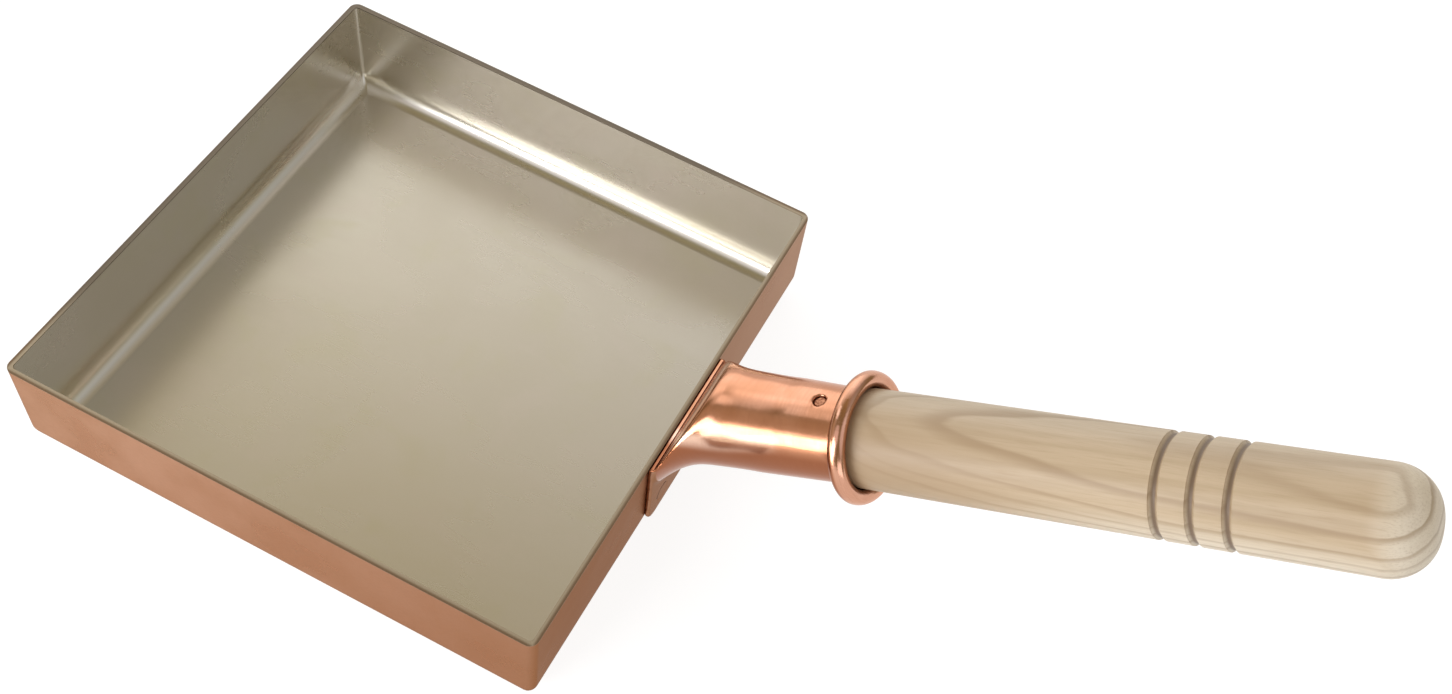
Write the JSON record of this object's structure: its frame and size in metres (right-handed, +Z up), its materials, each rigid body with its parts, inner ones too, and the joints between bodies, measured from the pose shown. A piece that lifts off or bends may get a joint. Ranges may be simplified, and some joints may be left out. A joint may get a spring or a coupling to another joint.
{
  "type": "tamagoyaki pan",
  "caption": "Square copper omelette pan with a tinned inside, low walls, and a turned wooden handle set at an angle in a flared copper socket riveted to the wall.",
  "frame": {"origin": "centre of the pan's flat underside", "axes": "+Z up from the underside to the rim; +X from the middle of the pan towards the handle; +Y across the pan"},
  "size_m": [0.3754, 0.18, 0.1549],
  "materials": {
    "copper": "polished copper, softly hammered on the walls",
    "tin": "wiped hot tin, satin with a soft sheen",
    "wood": "bare pale wood, turned and sanded"
  },
  "bodies": {
    "root": {"copper_pan": "copper", "tin_lining": "tin", "handle_socket": "copper", "socket_rivet_1": "copper", "socket_rivet_2": "copper", "socket_rivet_3": "copper", "wooden_handle": "wood", "handle_nail": "copper"}
  },
  "joints": []
}
